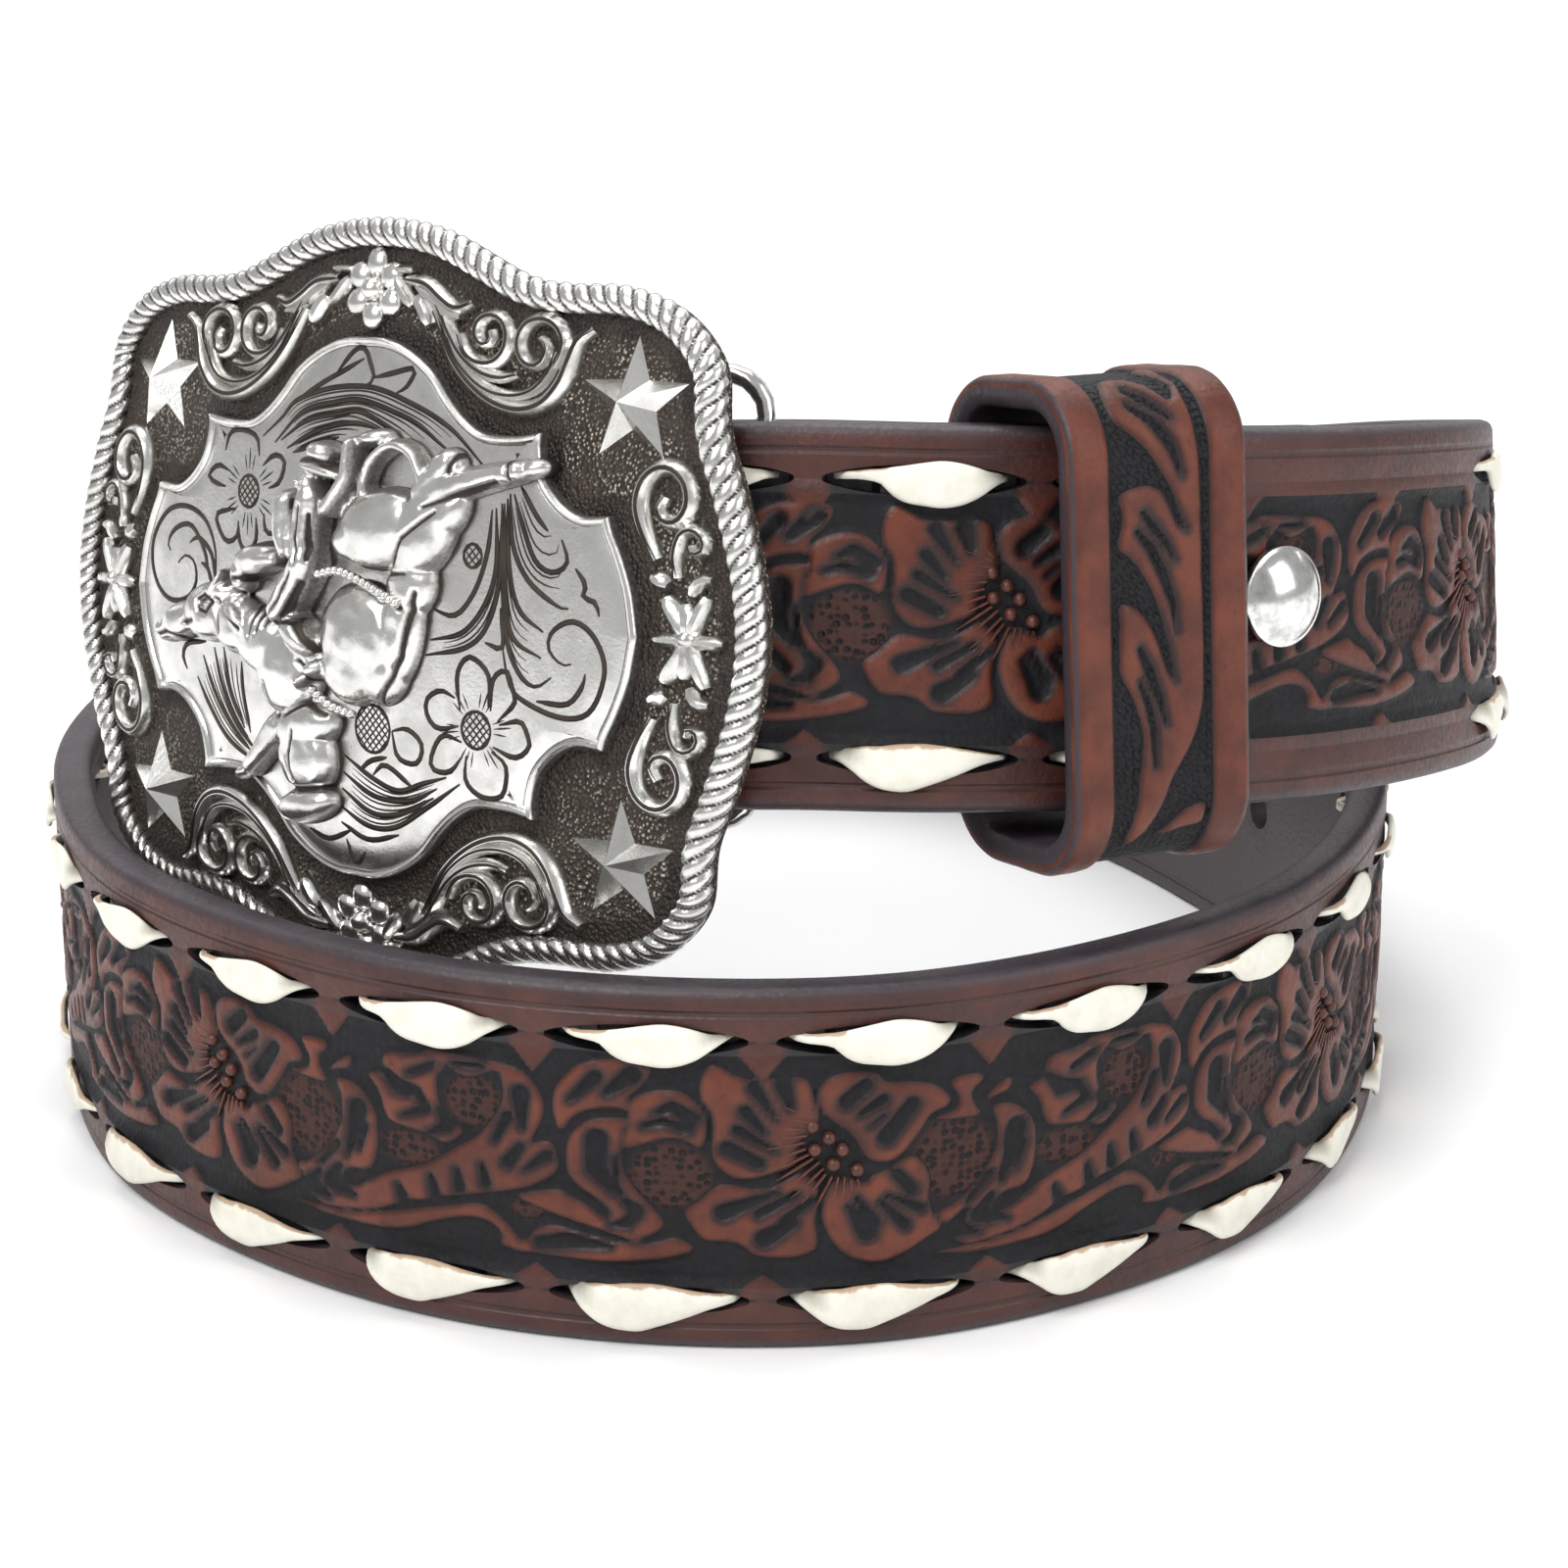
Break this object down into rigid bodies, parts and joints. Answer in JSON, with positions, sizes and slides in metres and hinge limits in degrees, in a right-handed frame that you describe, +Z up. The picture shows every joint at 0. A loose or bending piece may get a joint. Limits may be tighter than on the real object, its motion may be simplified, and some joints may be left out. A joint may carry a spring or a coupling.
{
  "type": "western tooled belt",
  "caption": "Coiled leather belt strap with contrast lacing, a keeper loop, a snap and a large cast plate buckle with rope edge, stars and a rodeo figure, hung on a wire bale.",
  "frame": {"origin": "middle of the belt's footprint, on the surface it stands on", "axes": "+Z up along the coil's axis, -Y towards the viewer and the buckle's side, +X to the viewer's right"},
  "size_m": [0.175, 0.1952, 0.1056],
  "materials": {
    "leather": "tooled and stained, satin",
    "lace": "rawhide, matt",
    "cast_silver": "antiqued casting",
    "steel": "bright"
  },
  "bodies": {
    "root": {"strap": "leather", "lace_upper": "lace", "lace_lower": "lace", "keeper": "leather", "snap_cap": "steel", "snap_back": "steel", "buckle": "cast_silver", "bale": "steel"}
  },
  "joints": []
}
